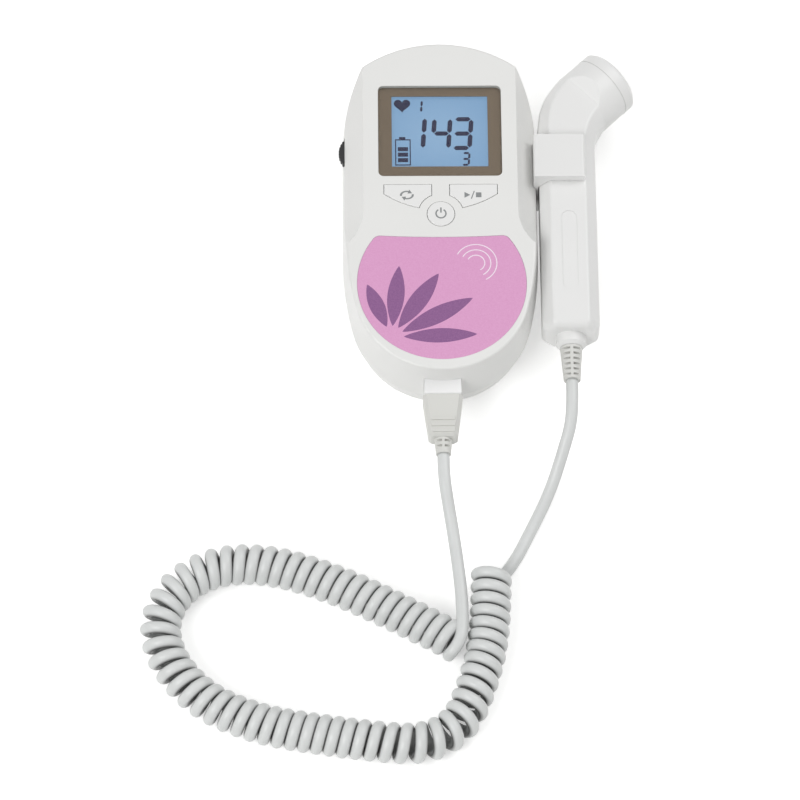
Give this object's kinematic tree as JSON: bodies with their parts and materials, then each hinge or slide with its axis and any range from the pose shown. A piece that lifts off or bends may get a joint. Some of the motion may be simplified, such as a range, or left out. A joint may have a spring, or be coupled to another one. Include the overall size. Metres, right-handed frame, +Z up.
{
  "type": "handheld fetal doppler monitor",
  "caption": "Pocket fetal heart monitor with a backlit display, soft keys, a side clip holding its angled ultrasound probe, and a curly cord.",
  "frame": {"origin": "middle of the flat back of the unit, on the surface it lies on", "axes": "+Z up through the display, +Y along the unit from the plug end to the rounded top, +X across towards the probe"},
  "size_m": [0.1813, 0.278, 0.0343],
  "materials": {
    "case": "white moulded ABS, satin",
    "case_shine": "white polished moulding",
    "window": "clear acrylic window",
    "bezel": "bronze print behind the window",
    "lcd": "blue lit liquid crystal glass",
    "backlight": "white light guide",
    "label": "pink printed polyester film",
    "keys": "white key cap with grey print",
    "board": "green solder mask on glass epoxy",
    "black": "black moulding",
    "steel": "zinc plated steel",
    "nickel": "nickel plated contact",
    "brass": "gold plated contact",
    "cell": "printed jacket of an alkaline cell",
    "paper": "black speaker paper",
    "cable": "grey-white soft vinyl",
    "plug": "grey-white soft moulding",
    "lens": "cast acoustic lens",
    "ceramic": "piezo ceramic",
    "epoxy": "filled epoxy"
  },
  "bodies": {
    "unit": {"front_cover": "case", "rear_cover": "case", "label_overlay": "label", "case_screws": "steel", "holder_screws": "steel", "probe_holder": "case_shine", "probe_socket": "case_shine", "socket_pins": "brass", "cord_lead_plug": "cable", "cord_lead_probe": "cable", "cord_coil": "cable", "display_window": "window", "display_mask": "bezel", "lcd_glass": "lcd", "lcd_backlight": "backlight", "lcd_holder": "black", "main_board": "board", "circuit_chips": "black", "key_switches": "steel", "volume_control": "black", "headphone_jack": "black", "speaker_frame": "steel", "speaker_cone": "paper", "speaker_magnet": "steel", "battery_cells": "cell", "battery_springs": "nickel", "battery_contacts": "nickel"},
    "battery_door": {"battery_door": "case"},
    "mode_button": {"button_mode": "keys"},
    "start_stop_button": {"button_start_stop": "keys"},
    "power_button": {"button_power": "keys"},
    "volume_wheel": {"volume_wheel": "black"},
    "probe": {"probe_shell_front": "case_shine", "probe_shell_rear": "case_shine", "probe_cap": "case_shine", "acoustic_lens": "lens", "crystal_halves": "ceramic", "crystal_backing": "epoxy", "probe_board": "board", "probe_seal": "black", "probe_boot": "plug"},
    "plug": {"plug_body": "plug", "plug_contacts": "brass", "plug_boot": "plug"}
  },
  "joints": [
    {"name": "mode_press", "type": "slide", "parent": "unit", "child": "mode_button", "axis": [0, 0, -1], "range_m": [0, 0.0006], "stiffness_N_per_m": 1500},
    {"name": "start_stop_press", "type": "slide", "parent": "unit", "child": "start_stop_button", "axis": [0, 0, -1], "range_m": [0, 0.0006], "stiffness_N_per_m": 1500},
    {"name": "power_press", "type": "slide", "parent": "unit", "child": "power_button", "axis": [0, 0, -1], "range_m": [0, 0.0006], "stiffness_N_per_m": 1500},
    {"name": "volume_turn", "type": "hinge", "parent": "unit", "child": "volume_wheel", "pos_m": [-0.02933, 0.0268, 0.0219], "axis": [0, 0, 1], "range_deg": [0, 270]},
    {"name": "battery_door_slide", "type": "slide", "parent": "unit", "child": "battery_door", "axis": [0, -1, 0], "range_m": [0, 0.03]},
    {"name": "probe_release", "type": "slide", "parent": "unit", "child": "probe", "axis": [1, 0, 0], "range_m": [0, 0.03]},
    {"name": "plug_pull", "type": "slide", "parent": "unit", "child": "plug", "axis": [0, -1, 0], "range_m": [0, 0.008], "deforming": ["cord_lead_plug"]}
  ]
}
